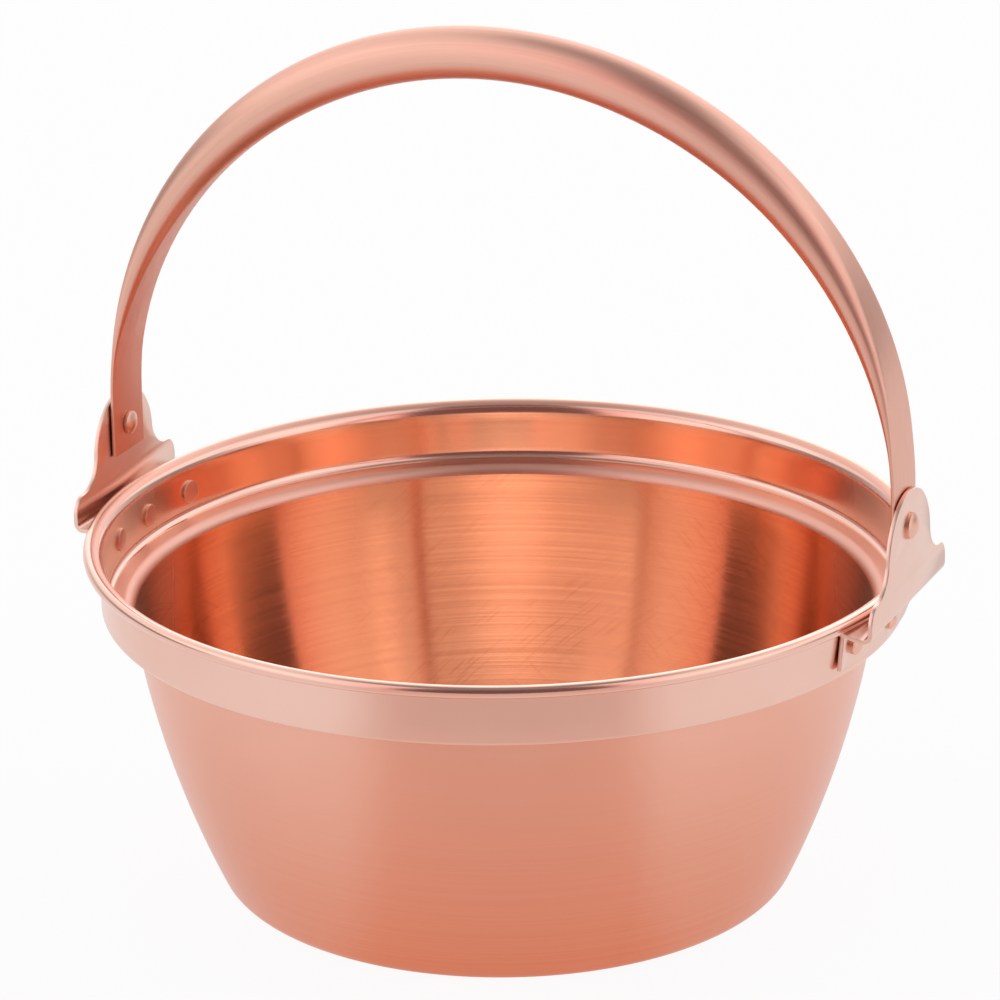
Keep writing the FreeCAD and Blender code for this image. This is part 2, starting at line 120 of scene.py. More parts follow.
def wall(inset):
    """The gently bulged wall from the base corner up to the shoulder, moved in by the sheet."""
    radius = WALL_BULGE - inset
    corner = CORNER - inset
    foot = Vector((BASE_R + corner * math.sin(math.radians(CORNER_TURN)),
                   inset + corner * (1 - math.cos(math.radians(CORNER_TURN)))))
    top = Vector((WALL_R - inset, SHOULDER_Z))
    run = top - foot
    reach = math.sqrt(radius ** 2 - run.length_squared / 4)
    centre = (foot + top) / 2 + Vector((-run.y, run.x)).normalized() * reach
    turns = [math.degrees(math.atan2(end.y - centre.y, end.x - centre.x)) for end in (foot, top)]
    return arc(centre, radius, turns[0], turns[1], 24)


outside = [(0.0, 0.0)] + [(ring, 0.0) for ring in BASE_RINGS]
outside += arc((BASE_R, CORNER), CORNER, -90, -90 + CORNER_TURN, 10)
outside += wall(0)[1:]
outside += arc((WALL_R + SHOULDER, SHOULDER_Z), SHOULDER, 180, 90, 6)[1:]
outside += arc((BAND_R - BAND_CORNER, LEDGE_Z + BAND_CORNER), BAND_CORNER, -90, 0, 6)
outside += [(BAND_R, BAND_FOOT_OUT), (BAND_R, BAND_TOP)]
outside += arc((ROLL_X, LIP_Z), LIP_UNDER, 180, 127, 6)
rim = arc((ROLL_X, RIM_Z - ROLL_R), ROLL_R, 196, 450, 26)
inside = arc((ROLL_X, LIP_Z), LIP_UNDER + SHEET, 90, 180, 8)[1:]
inside += [(BAND_INSIDE, BAND_TOP), (BAND_INSIDE, BAND_FOOT_IN)]
inside += arc((BAND_INSIDE - INNER_CORNER, LEDGE_TOP + INNER_CORNER), INNER_CORNER, 0, -90, 9)
inside += arc((WALL_R - SHEET + INNER_SHOULDER, LEDGE_TOP - INNER_SHOULDER), INNER_SHOULDER, 90, 180, 10)
inside += wall(SHEET)[::-1][2:]
inside += arc((BASE_R, CORNER), CORNER - SHEET, -90 + CORNER_TURN, -90, 8)[1:]
inside += [(ring, SHEET) for ring in BASE_RINGS[::-1]] + [(0.0, SHEET)]

pot = piece("spun_pot", lathe(outside + rim + inside, 256), "pot")
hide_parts("pot_shell")
print("profile points", len(outside), len(rim), len(inside))

# %% [markdown]
# ## The bail handle
# The handle is one copper tube, bent to half an ellipse over two short straight legs and pressed flat
# towards its ends. A ring of vertices is made at each station of that path and takes the section of its
# place: a thin rounded strap at the pivots, nearly round at the grip. Bridging one ring to the next gives
# the skin. The pin holes are hidden by the rivet heads, so the straps stay closed.

# %% Section and path of the handle
PIVOT_Z, HALF_SPAN, ARCH_RISE, LEG, TAIL = 154.4, 153.3, 156.1, 10.0, 10.4
STRAP = {"deep": 0.7, "wide": 11.6, "flat": 0.2}
GRIP = {"deep": 9.3, "wide": 9.1, "flat": 0.4}
FLAT_UNTIL, ROUND_FROM = 7.0, 72.0
CORNER_POINTS = 8


def station(angle, drop):
    """Centre, outward direction and section sizes of the handle at an angle round the arch."""
    turn = math.radians(angle)
    height = ARCH_RISE - LEG
    centre = Vector((HALF_SPAN * math.cos(turn), 0, PIVOT_Z + LEG + height * math.sin(turn) - drop))
    along = Vector((-HALF_SPAN * math.sin(turn), 0, height * math.cos(turn))).normalized()
    climb = (min(angle, 180 - angle) - FLAT_UNTIL) / (ROUND_FROM - FLAT_UNTIL)
    blend = math.sin(math.pi / 2 * min(max(climb, 0), 1))
    sizes = {key: STRAP[key] * (1 - blend) + GRIP[key] * blend for key in STRAP}
    return centre, Vector((along.z, 0, -along.x)), sizes


def section_point(index, sizes):
    """Depth and width of one of a ring's points on a rounded rectangle, in millimetres."""
    corner = min(sizes["deep"], sizes["wide"]) - sizes["flat"]
    quarter, step = divmod(index, CORNER_POINTS)
    turn = math.pi / 2 * (quarter + step / (CORNER_POINTS - 1))
    depth_sign = 1 if quarter in (0, 3) else -1
    width_sign = 1 if quarter in (0, 1) else -1
    return (depth_sign * (sizes["deep"] - corner) + corner * math.cos(turn),
            width_sign * (sizes["wide"] - corner) + corner * math.sin(turn))


print("section at the pivot", station(0, 0)[2], "at the grip", station(90, 0)[2])

# %% Bridge the rings along the arch
LEG_STEPS, ARCH_STEP = 6, 2
stations = [(0, (LEG + TAIL) * (1 - step / LEG_STEPS)) for step in range(LEG_STEPS)]
stations += [(angle, 0) for angle in range(0, 181, ARCH_STEP)]
stations += [(180, (LEG + TAIL) * (step + 1) / LEG_STEPS) for step in range(LEG_STEPS)]
handle_shape = bmesh.new()
brush_layer = handle_shape.verts.layers.float_vector.new("brush")
before, last_centre, along = None, None, 0.0
for angle, drop in stations:
    centre, out, sizes = station(angle, drop)
    along += (centre - last_centre).length if last_centre else 0.0
    last_centre = centre
    ring = bmesh.ops.create_circle(handle_shape, segments=4 * CORNER_POINTS, radius=MM)["verts"]
    for index, vert in enumerate(ring):
        depth, width = section_point(index, sizes)
        vert.co = (centre + out * depth + Vector((0, width, 0))) * MM
        vert[brush_layer] = Vector((along, depth, width)) * MM
    loop = list({edge for vert in ring for edge in vert.link_edges})
    if before:
        bmesh.ops.bridge_loops(handle_shape, edges=before + loop)
    before = loop
bmesh.ops.holes_fill(handle_shape, edges=handle_shape.edges, sides=0)
bmesh.ops.recalc_face_normals(handle_shape, faces=handle_shape.faces)
handle = piece("copper_handle", handle_shape, "handle")
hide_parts("bail_handle")

# %% [markdown]
# ## The brackets
# Each bracket is one sheet with two bends: a flange that follows the band, a level web under the rim and
# a bell-shaped plate for the pivot. The CAD solid already has those bends, so a copy of its mesh is used.
# Merging its loose triangles and dissolving the flat ones leaves clean faces, and a narrow bevel takes
# the razor edge off, because a sheared and tumbled sheet catches a thin line of light there. Sheet that is
# bent over a block by hand isn't quite true, so the web waves a little and the flange's ends stand off
# the band, as they do in the photograph.

# %% Copy and round the brackets
def softened_copy(node, width, least_angle):
    """A copy of a CAD node with its sharp edges rounded by a narrow bevel, width in millimetres."""
    shape = bmesh.new()
    shape.from_mesh(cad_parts[node].data)
    bmesh.ops.remove_doubles(shape, verts=shape.verts, dist=1e-6)
    bmesh.ops.dissolve_limit(shape, angle_limit=math.radians(0.5), verts=shape.verts, edges=shape.edges)
    sharp = [edge for edge in shape.edges
             if len(edge.link_faces) == 2 and edge.calc_face_angle(0) > math.radians(least_angle)]
    bmesh.ops.bevel(shape, geom=sharp, offset=width * MM, offset_type="OFFSET", segments=2, profile=0.5,
                    affect="EDGES", clamp_overlap=True, material=-1)
    return shape


# %% Bend the brackets by hand
BRACKET_SHEET, PLATE_FACE = 1.5, 155.4
FLANGE_R = BAND_R + BRACKET_SHEET
WEB_CUTS = (145.0, 147.0, 149.0, 150.5, 152.0, 153.2)
WAVE, WAVE_SHARE, WAVE_FOOT, WAVE_TOP, WAVE_FADE, PLATE_FOOT = 1.1, 0.8, 117.0, 139.0, 7.0, 132
SPRING, SPRING_FROM, SPRING_RUN, FLANGE_BACK, FLANGE_TOP = 1.2, 31.0, 8.0, 150.2, 125.5


def limited(number):
    """A number kept between 0 and 1."""
    return min(max(number, 0), 1)


def hand_bent(shape, way):
    """Waves the web, high at the pot and low at the plate, and springs the flange's ends off the band."""
    for cut in WEB_CUTS:
        bmesh.ops.bisect_plane(shape, geom=shape.verts[:] + shape.edges[:] + shape.faces[:],
                               plane_co=(way * cut * MM, 0, 0), plane_no=(1, 0, 0))
    for vert in shape.verts:
        across, along, up = vert.co.x * way / MM, vert.co.y / MM, vert.co.z / MM
        flange = math.sqrt(FLANGE_R ** 2 - along ** 2)
        share = limited((across - flange) / (PLATE_FACE - flange))
        wave = math.cos(math.pi * min(share / WAVE_SHARE, 1)) * limited((up - WAVE_FOOT) / WAVE_FADE)
        vert.co.z += WAVE * (wave if up < PLATE_FOOT else -limited((WAVE_TOP - up) / WAVE_FADE)) * MM
        if math.hypot(across, along) < FLANGE_BACK and up < FLANGE_TOP:
            vert.co.x += SPRING * limited((abs(along) - SPRING_FROM) / SPRING_RUN) ** 2 * way * MM


EDGE_WIDTH, EDGE_ANGLE = 0.22, 50
brackets = []
for side, way in (("right", 1), ("left", -1)):
    shape = softened_copy(f"{side}_bracket", EDGE_WIDTH, EDGE_ANGLE)
    hand_bent(shape, way)
    bracket = piece(f"{side}_bracket_plate", shape, "pot")
    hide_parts(f"{side}_bracket")
    brackets.append(bracket)

# %% [markdown]
# ## The rivets
# A rivet is turned too: a domed head, a shank and a second head hammered over on the far side. One lathe
# profile makes each kind. It is spun upright and then laid along the direction that it holds together:
# along a radius of the pot for the flange rivets, and along the pivot axis for the two hinge pins.

# %% Helpers for a rivet
def dome(radius, base, height, side):
    """Profile points of a domed head from its rim up to the axis, with a short upright side."""
    rise = height - side
    ball = (radius ** 2 + rise ** 2) / (2 * rise)
    start = math.degrees(math.asin(radius / ball))
    cap = [(ball * math.sin(math.radians(turn)), base + height - ball + ball * math.cos(math.radians(turn)))
           for turn in [start * (1 - step / 8) for step in range(9)]]
    return [(radius, base)] + cap


def laid(shape, direction, centre):
    """Turns an upright shape so that its axis lies along a level direction in degrees, and moves it."""
    turn = Matrix.Rotation(math.radians(direction), 4, "Z") @ Matrix.Rotation(math.radians(90), 4, "Y")
    bmesh.ops.transform(shape, matrix=Matrix.Translation(Vector(centre) * MM) @ turn, verts=shape.verts)
    return shape


# %% Profiles of the two kinds
HEAD_SINK, SHANK_R = 0.6, 1.8
FLAT_HEAD = [(0.0, 1.1), (3.7, 1.1), (4.0, 1.08), (4.28, 0.96), (4.4, 0.7), (4.4, 0.4), (4.4, -HEAD_SINK)]
BUTTON_R, BUTTON_RISE, BUTTON_SIDE, BUTTON_SINK = 3.3, 2.9, 1.5, 0.7
PIN_R, PIN_INNER, PIN_OUTER = 3.0, 152.4, 156.1
TAIL_R, TAIL_RISE, HEAD_R, HEAD_RISE, HEAD_SIDE = 4.4, 2.4, 4.75, 2.8, 1.0


def flange_rivet():
    """Profile of a flange rivet along its axis: a flat head in the pot, a shank and a button outside."""
    flat_head = [(across, BAND_INSIDE - rise) for across, rise in FLAT_HEAD]
    shank = [(SHANK_R, BAND_INSIDE + HEAD_SINK), (SHANK_R, FLANGE_R - BUTTON_SINK)]
    seat = [(BUTTON_R, FLANGE_R - BUTTON_SINK)]
    return flat_head + shank + seat + dome(BUTTON_R, FLANGE_R, BUTTON_RISE, BUTTON_SIDE)


def pivot_pin():
    """Profile of a pivot pin along its axis: a domed tail inside the strap, the pin and a domed head."""
    tail = [(across, PIN_INNER - up) for across, up in dome(TAIL_R, 0, TAIL_RISE, HEAD_SIDE)][::-1]
    return tail + [(PIN_R, PIN_INNER), (PIN_R, PIN_OUTER)] + dome(HEAD_R, PIN_OUTER, HEAD_RISE, HEAD_SIDE)


# %% Turn the rivets and lay them in place
SIDES = {"right": 0, "left": 180}
RIVET_PLACES = {"near": (-11.21, 118.5), "middle": (0.0, 118.0), "far": (11.21, 118.5)}
rivets = []
for side, side_turn in SIDES.items():
    for place, (turn, height) in RIVET_PLACES.items():
        shape = laid(lathe(flange_rivet(), 40), side_turn + turn, (0, 0, height))
        rivet = piece(f"{side}_{place}_button", shape, "pot")
        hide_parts(f"{side}_{place}_rivet")
        rivets.append(rivet)
    shape = laid(lathe(pivot_pin(), 48), side_turn, (0, 0, PIVOT_Z))
    rivet = piece(f"{side}_pivot_pin", shape, "pot")
    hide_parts(f"{side}_pivot_rivet")
    rivets.append(rivet)

# %% [markdown]
# ## Copper
# Copper is a metal, so its colour is the colour of its reflections, and the finish is all in the
# roughness. A spun or brushed face is scored with fine lines, which spread a reflection across the lines
# and keep it sharp along them. That is what anisotropy does, with a tangent that runs round the pot or
# along the handle. The lines themselves are a noise that is drawn out along the same way.

# %% Small helpers for node trees
def add(tree, kind, inputs=None, **settings):
    """A node of a kind, with settings on the node and values or links on its inputs."""
    node = tree.nodes.new(kind)
    for key, setting in settings.items():
        setattr(node, key, setting)
    for key, source in (inputs or {}).items():
        if isinstance(source, bpy.types.NodeSocket):
            tree.links.new(source, node.inputs[key])
        else:
            node.inputs[key].default_value = source
    return node


def group(name, inputs, outputs):
    """An empty shader node group with named sockets, and its two end nodes."""
    tree = bpy.data.node_groups.new(name, "ShaderNodeTree")
    for socket, kind, start in inputs:
        made = tree.interface.new_socket(socket, in_out="INPUT", socket_type=kind)
        made.default_value = start
    for socket, kind in outputs:
        tree.interface.new_socket(socket, in_out="OUTPUT", socket_type=kind)
    return tree, tree.nodes.new("NodeGroupInput"), tree.nodes.new("NodeGroupOutput")


def math_node(tree, operation, first, second=0.5):
    """The result of an operation on two links or numbers, or on the first alone where it takes one."""
    return add(tree, "ShaderNodeMath", {0: first, 1: second}, operation=operation).outputs[0]


# %% Lines, clouds, specks and scratches as node groups
def noise_group(name, detail, low, high, dimensions="3D"):
    """A group that turns coordinates into a noise, spread between two cuts so that it reaches 0 and 1."""
    inputs = [("Vector", "NodeSocketVector", (0, 0, 0)), ("Scale", "NodeSocketFloat", 1.0)]
    inputs += [("W", "NodeSocketFloat", 0.0)] if dimensions == "4D" else []
    tree, start, end = group(name, inputs, [("Mask", "NodeSocketFloat")])
    noise = add(tree, "ShaderNodeTexNoise", {"Detail": detail, "Roughness": 0.5}, noise_dimensions=dimensions)
    for socket, _, _ in inputs:
        tree.links.new(start.outputs[socket], noise.inputs[socket])
    spread = add(tree, "ShaderNodeMapRange", {"Value": noise.outputs[0], "From Min": low, "From Max": high},
                 interpolation_type="SMOOTHSTEP")
    tree.links.new(spread.outputs["Result"], end.inputs["Mask"])
    return tree


drawn_lines = noise_group("drawn_lines", 2.0, 0.30, 0.70, "4D")
clouds = noise_group("clouds", 4.0, 0.32, 0.68)
scratches = noise_group("scratches", 1.0, 0.57, 0.66)

specks, specks_in, specks_out = group(
    "specks", [("Vector", "NodeSocketVector", (0, 0, 0)), ("Scale", "NodeSocketFloat", 220.0)],
    [("Mask", "NodeSocketFloat")])
cells = add(specks, "ShaderNodeTexVoronoi", {"Vector": specks_in.outputs["Vector"],
                                             "Scale": specks_in.outputs["Scale"]})
dots = add(specks, "ShaderNodeMapRange", {"Value": cells.outputs["Distance"], "From Min": 0.08,
                                          "From Max": 0.17, "To Min": 1.0, "To Max": 0.0})
cell_pick = add(specks, "ShaderNodeSeparateColor", {0: cells.outputs["Color"]})
chosen = math_node(specks, "LESS_THAN", cell_pick.outputs[0], 0.03)
specks.links.new(math_node(specks, "MULTIPLY", dots.outputs["Result"], chosen), specks_out.inputs["Mask"])
print("groups", [tree.name for tree in bpy.data.node_groups])


# %% [markdown]
# The lines on the pot run round its axis, so the noise moves slowly with the direction and fast with the
# height and the radius. A direction has no start, so no seam shows. On the handle they follow the tube,
# from the place along it that every vertex of the rings was given.

# %% Where the lines run
def use(tree, mask, **inputs):
    """The mask of one of the groups, fed with links or plain numbers."""
    return add(tree, "ShaderNodeGroup", inputs, node_tree=mask).outputs["Mask"]


def place_of(tree):
    """The object's own coordinates, which are metres in the part's frame."""
    return add(tree, "ShaderNodeTexCoord").outputs["Object"]


def lines_round_the_pot(tree, per_metre, slide):
    """Lines that run round the axis with no seam."""
    split = add(tree, "ShaderNodeSeparateXYZ", {0: place_of(tree)})
    level = add(tree, "ShaderNodeCombineXYZ", {"X": split.outputs["X"], "Y": split.outputs["Y"]}).outputs[0]
    radius = add(tree, "ShaderNodeVectorMath", {0: level}, operation="LENGTH").outputs["Value"]
    way = add(tree, "ShaderNodeVectorMath", {0: level}, operation="NORMALIZE").outputs[0]
    slow = add(tree, "ShaderNodeVectorMath", {0: way, 1: (slide, slide, 0)}, operation="MULTIPLY").outputs[0]
    rise = math_node(tree, "MULTIPLY", split.outputs["Z"], per_metre)
    climb = add(tree, "ShaderNodeCombineXYZ", {"Z": rise}).outputs[0]
    vector = add(tree, "ShaderNodeVectorMath", {0: slow, 1: climb}, operation="ADD").outputs[0]
    return use(tree, drawn_lines, Vector=vector, W=math_node(tree, "MULTIPLY", radius, per_metre))


def lines_along_the_handle(tree, per_metre, slide):
    """Lines that follow the tube."""
    brush = add(tree, "ShaderNodeAttribute", attribute_name="brush").outputs["Vector"]
    stretch = add(tree, "ShaderNodeVectorMath", {0: brush, 1: (slide, per_metre, per_metre)},
                  operation="MULTIPLY").outputs[0]
    return use(tree, drawn_lines, Vector=stretch)


# %% [markdown]
# ## Finishes
# Each finish starts as one metal under soft clouds of tarnish, and layers go over it: drawn lines, specks,
# rub marks. The wall of the pot is painted a deeper red than its band, and redder still towards the base:
# the extra red is painted reflection of the floor close to the pot, which lies in shade and takes copper
# light bounced off the pot. The band was polished with the rim. The lines go into the tint, the roughness
# and a very low bump, so that they glint and don't look like grain in wood.

# %% Layers of a finish
def tinted(finish, mask, tint, share):
    """Lays a share of a tint over the metal's colour where a mask is 1."""
    tree = finish.node_tree
    socket = tree.nodes["Principled BSDF"].inputs["Base Color"]
    mix = add(tree, "ShaderNodeMix", {"Factor": math_node(tree, "MULTIPLY", mask, share)}, data_type="RGBA")
    mix.inputs["A"].default_value = socket.default_value
    if socket.is_linked:
        tree.links.new(socket.links[0].from_socket, mix.inputs["A"])
    mix.inputs["B"].default_value = (*tint, 1)
    tree.links.new(mix.outputs["Result"], socket)


def cloudy_metal(name, tint, tarnish, per_metre, share, rough=0.5):
    """A metal of one tint with a share of tarnish in soft clouds, so many to the metre."""
    finish = bpy.data.materials.new(name)
    finish.use_nodes = True
    tree = finish.node_tree
    shader = tree.nodes["Principled BSDF"]
    shader.inputs["Base Color"].default_value = (*tint, 1)
    shader.inputs["Metallic"].default_value = 1.0
    shader.inputs["Roughness"].default_value = rough
    tinted(finish, use(tree, clouds, Vector=place_of(tree), Scale=per_metre), tarnish, share)
    return finish


def brushed(finish, line, axis, strength, rough, depth):
    """Scores a metal with drawn lines: they change its roughness, stand up a little and spread its glints."""
    tree = finish.node_tree
    shader = tree.nodes["Principled BSDF"]
    span = add(tree, "ShaderNodeMapRange", {"Value": line, "To Min": rough[0], "To Max": rough[1]})
    tree.links.new(span.outputs["Result"], shader.inputs["Roughness"])
    bump = add(tree, "ShaderNodeBump", {"Height": line, "Strength": depth, "Distance": 0.0001})
    tree.links.new(bump.outputs["Normal"], shader.inputs["Normal"])
    tangent = add(tree, "ShaderNodeTangent", direction_type="RADIAL", axis=axis)
    tree.links.new(tangent.outputs[0], shader.inputs["Tangent"])
    shader.inputs["Anisotropic"].default_value = strength
    shader.inputs["Anisotropic Rotation"].default_value = 0.25


# %% The outside of the pot
# The wall's copper is painted a deeper red than the band's: painted reflection of copper bounce light from
# the floor.
wall_copper = cloudy_metal("wall_copper", (0.90, 0.465, 0.355), (0.87, 0.42, 0.31), 13.0, 0.5)
tree = wall_copper.node_tree
height = add(tree, "ShaderNodeSeparateXYZ", {0: place_of(tree)}).outputs["Z"]
# Redder towards the base: painted reflection of the shaded floor close to the pot, lit by copper light
# bounced off the pot.
low = add(tree, "ShaderNodeMapRange", {"Value": height, "From Min": 0.10, "From Max": 0.0}).outputs["Result"]
tinted(wall_copper, low, (0.77, 0.25, 0.14), 1.0)
wall_lines = lines_round_the_pot(tree, 1500.0, 0.8)
tinted(wall_copper, wall_lines, (0.92, 0.50, 0.38), 0.14)
brushed(wall_copper, wall_lines, "Z", 0.8, (0.28, 0.32), 0.008)

band_copper = cloudy_metal("band_copper", (0.91, 0.59, 0.50), (0.88, 0.53, 0.43), 16.0, 0.6)
band_lines = lines_round_the_pot(band_copper.node_tree, 1500.0, 0.8)
brushed(band_copper, band_lines, "Z", 0.8, (0.235, 0.25), 0.0008)

rim_copper = cloudy_metal("rim_copper", (0.91, 0.57, 0.48), (0.88, 0.52, 0.42), 22.0, 0.5, rough=0.18)
ledge_copper = cloudy_metal("ledge_copper", (0.86, 0.48, 0.39), (0.82, 0.43, 0.33), 20.0, 0.6, rough=0.42)
print("outside", [finish.name for finish in (wall_copper, band_copper, rim_copper, ledge_copper)])

# %% [markdown]
# The inside was scoured after spinning, so it mirrors more, and rub marks cross it in worn patches. Towards
# the two sides a reflection meets the curved wall many times in a row, and a clear metal would end black
# there. The finish gets duller at those sides, which lets the light out after a bounce or two. The inside
# of the band gives back a little of its own colour, so it isn't wholly metallic.

# %% Rub marks and duller sides
RUB_THIN, RUB_LONG = 1000.0, 55.0
RUB_WAYS = [((0.64, 0.29, 0.71), (0.64, 0.29, -0.71)), ((0.57, 0.25, -0.78), (0.71, 0.32, 0.63))]
SIDE_WAY = (0.918, 0.397, 0.0)


def reach_along(tree, way):
    """How far a place lies along a direction, in metres."""
    product = add(tree, "ShaderNodeVectorMath", {0: place_of(tree), 1: way}, operation="DOT_PRODUCT")
    return product.outputs["Value"]


def rub_marks(tree, across, along):
    """Strokes that are thin across one direction and long along another, in worn patches only."""
    thin = math_node(tree, "MULTIPLY", reach_along(tree, across), RUB_THIN)
    drawn = math_node(tree, "MULTIPLY", reach_along(tree, along), RUB_LONG)
    stroke = add(tree, "ShaderNodeCombineXYZ", {"X": thin, "Y": drawn}).outputs[0]
    patch = add(tree, "ShaderNodeVectorMath", {0: place_of(tree), 1: across}, operation="ADD").outputs[0]
    worn = math_node(tree, "MULTIPLY", use(tree, clouds, Vector=patch, Scale=9.0),
                     use(tree, clouds, Vector=patch, Scale=21.0))
    return math_node(tree, "MULTIPLY", use(tree, scratches, Vector=stroke), worn)


def duller_sides(finish, start, end, rough):
    """Dulls a brushed finish towards two opposite sides of the pot, between two distances in metres."""
    tree = finish.node_tree
    socket = tree.nodes["Principled BSDF"].inputs["Roughness"]
    reach = math_node(tree, "ABSOLUTE", reach_along(tree, SIDE_WAY))
    dull = add(tree, "ShaderNodeMapRange", {"Value": reach, "From Min": start, "From Max": end,
                                            "To Max": rough}, interpolation_type="SMOOTHSTEP")
    tree.links.new(math_node(tree, "MAXIMUM", socket.links[0].from_socket, dull.outputs["Result"]), socket)


# %% The inside of the pot
inner_copper = cloudy_metal("inner_copper", (0.94, 0.57, 0.41), (0.90, 0.51, 0.35), 12.0, 0.6)
inner_lines = lines_round_the_pot(inner_copper.node_tree, 1300.0, 0.7)
tinted(inner_copper, inner_lines, (0.83, 0.42, 0.28), 0.5)
for across, along in RUB_WAYS:
    tinted(inner_copper, rub_marks(inner_copper.node_tree, across, along), (0.66, 0.27, 0.15), 0.4)
brushed(inner_copper, inner_lines, "Z", 0.8, (0.10, 0.16), 0.010)
duller_sides(inner_copper, 0.110, 0.128, 0.30)

lip_copper = cloudy_metal("lip_copper", (0.95, 0.63, 0.48), (0.93, 0.57, 0.42), 13.0, 0.6)
lip_copper.node_tree.nodes["Principled BSDF"].inputs["Metallic"].default_value = 0.9
lip_lines = lines_round_the_pot(lip_copper.node_tree, 1300.0, 0.7)
tinted(lip_copper, lip_lines, (0.82, 0.46, 0.32), 0.22)
brushed(lip_copper, lip_lines, "Z", 0.7, (0.09, 0.12), 0.004)
duller_sides(lip_copper, 0.116, 0.136, 0.30)
print("inside", inner_copper.name, len(inner_copper.node_tree.nodes), "nodes,", lip_copper.name)

# %% The handle's, sheet's and rivets' finishes
handle_copper = cloudy_metal("handle_copper", (0.91, 0.51, 0.41), (0.87, 0.50, 0.39), 15.0, 0.7)
handle_lines = lines_along_the_handle(handle_copper.node_tree, 1600.0, 14.0)
tinted(handle_copper, handle_lines, (0.84, 0.47, 0.37), 0.25)
brushed(handle_copper, handle_lines, "Y", 0.7, (0.33, 0.41), 0.02)

sheet_copper = cloudy_metal("sheet_copper", (0.91, 0.63, 0.54), (0.89, 0.57, 0.47), 40.0, 0.6, rough=0.3)
tree = sheet_copper.node_tree
tinted(sheet_copper, use(tree, specks, Vector=place_of(tree), Scale=270.0), (0.35, 0.15, 0.10), 0.75)

rivet_copper = cloudy_metal("rivet_copper", (0.91, 0.53, 0.42), (0.88, 0.50, 0.38), 150.0, 0.6, rough=0.37)
washer_brass = cloudy_metal("washer_brass", (0.82, 0.60, 0.29), (0.70, 0.48, 0.20), 120.0, 0.6, rough=0.3)
wire_steel = cloudy_metal("wire_steel", (0.56, 0.55, 0.53), (0.44, 0.42, 0.40), 120.0, 0.6, rough=0.35)
print("all finishes", [finish.name for finish in bpy.data.materials])

# %% [markdown]
# ## Finishes on the pieces
# The pot is one sheet, but it was worked part by part, so its faces take six finishes. A face is told apart
# by its radius, its height and the way it faces. The wire and the washers keep their CAD meshes, because
# almost nothing of them shows, and only get a finish.

# %% Give the pieces their finishes
ROLL_EDGE, LIP_EDGE, BASE_EDGE = BAND_R + 0.4, 143.5, 100
POT_FINISHES = (wall_copper, band_copper, rim_copper, inner_copper, ledge_copper, lip_copper)
WALL, BAND, RIM, INNER, LEDGE, LIP = range(len(POT_FINISHES))


def pot_finish(across, up, outward, upward):
    """Which of the pot's finishes a face takes, from its radius and height and the way that it faces."""
    if across > ROLL_EDGE and up > LIP_Z:
        return LEDGE if outward < -0.1 and upward > 0 else RIM
    if across > LIP_EDGE and outward < -0.15 and upward > 0.15:
        return RIM
    if across > BASE_EDGE and up > SHOULDER_Z and upward > 0.15:
        return LEDGE
    if outward < -0.5 and up > LEDGE_TOP:
        return LIP
    if outward < -0.05 or upward > 0.5:
        return INNER
    return BAND if up > LEDGE_Z + 0.3 and upward > -0.7 else WALL


for finish in POT_FINISHES:
    pot.data.materials.append(finish)
for face in pot.data.polygons:
    middle = face.center / MM
    across = math.hypot(middle.x, middle.y)
    outward = (face.normal.x * middle.x + face.normal.y * middle.y) / max(across, 1)
    face.material_index = pot_finish(across, middle.z, outward, face.normal.z)
handle.data.materials.append(handle_copper)
for bracket in brackets:
    bracket.data.materials.append(sheet_copper)
for rivet in rivets:
    rivet.data.materials.append(rivet_copper)
KEPT = {"rim_wire": wire_steel, "right_spacer_washer": washer_brass, "left_spacer_washer": washer_brass}
for node, finish in KEPT.items():
    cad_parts[node].data.materials.clear()
    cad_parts[node].data.materials.append(finish)
print("pot finishes", [slot.name for slot in pot.data.materials], "kept nodes", list(KEPT))

# %% [markdown]
# ## Floor, light and background
# A satin metal shows little of its own colour: it shows what stands round it. The floor is a pale sweep
# that the camera sees as white, with a faint shadow under the pot. In the metal it shows as a bright
# floor too, darker and a little warmer in the wedge towards the camera, which stands in its own light.

# %% Angles round the pot
CAMERA_WAY = math.atan2(camera.location.y, camera.location.x)


def turn_from_camera(tree, vector):
    """Angle in radians round the pot's axis of a position or direction, 0 towards the camera."""
    split = add(tree, "ShaderNodeSeparateXYZ", {0: vector})
    turn = math_node(tree, "ARCTAN2", split.outputs["Y"], split.outputs["X"])
    shifted = math_node(tree, "SUBTRACT", turn, CAMERA_WAY)
    wrapped = add(tree, "ShaderNodeMath", {0: shifted, 1: math.pi, 2: -math.pi}, operation="WRAP")
    return wrapped.outputs[0], split.outputs["Z"]


print("camera stands at", round(math.degrees(CAMERA_WAY), 1), "degrees round the pot")

# %% Floor
FLOOR_SIZE, FLOOR_LEVEL, FLOOR_CAMERA_SHADOW, FLOOR_NEAR = 6, 0.91, 0.18, 0.02
FLOOR_BOUNCE_TINT, FLOOR_WHITE = (1.0, 0.85, 0.79, 1), 0.93
WEDGE_START, WEDGE_END, NEAR, FAR = 0.42, 0.72, 0.12, 0.45
floor_shape = bmesh.new()
bmesh.ops.create_grid(floor_shape, x_segments=1, y_segments=1, size=FLOOR_SIZE)
floor_mesh = bpy.data.meshes.new("floor")
floor_shape.to_mesh(floor_mesh)
floor_shape.free()
floor = bpy.data.objects.new("floor", floor_mesh)
bpy.context.scene.collection.objects.link(floor)
floor_finish = bpy.data.materials.new("pale_floor")
floor_finish.use_nodes = True
floor_mesh.materials.append(floor_finish)
tree = floor_finish.node_tree
floor_shader = tree.nodes["Principled BSDF"]
floor_shader.inputs["Base Color"].default_value = (0.97, 0.97, 0.97, 1)
floor_shader.inputs["Roughness"].default_value = 0.8
floor_shader.inputs["Specular IOR Level"].default_value = 0.1
print("floor", FLOOR_SIZE, "metres from the middle to each side")

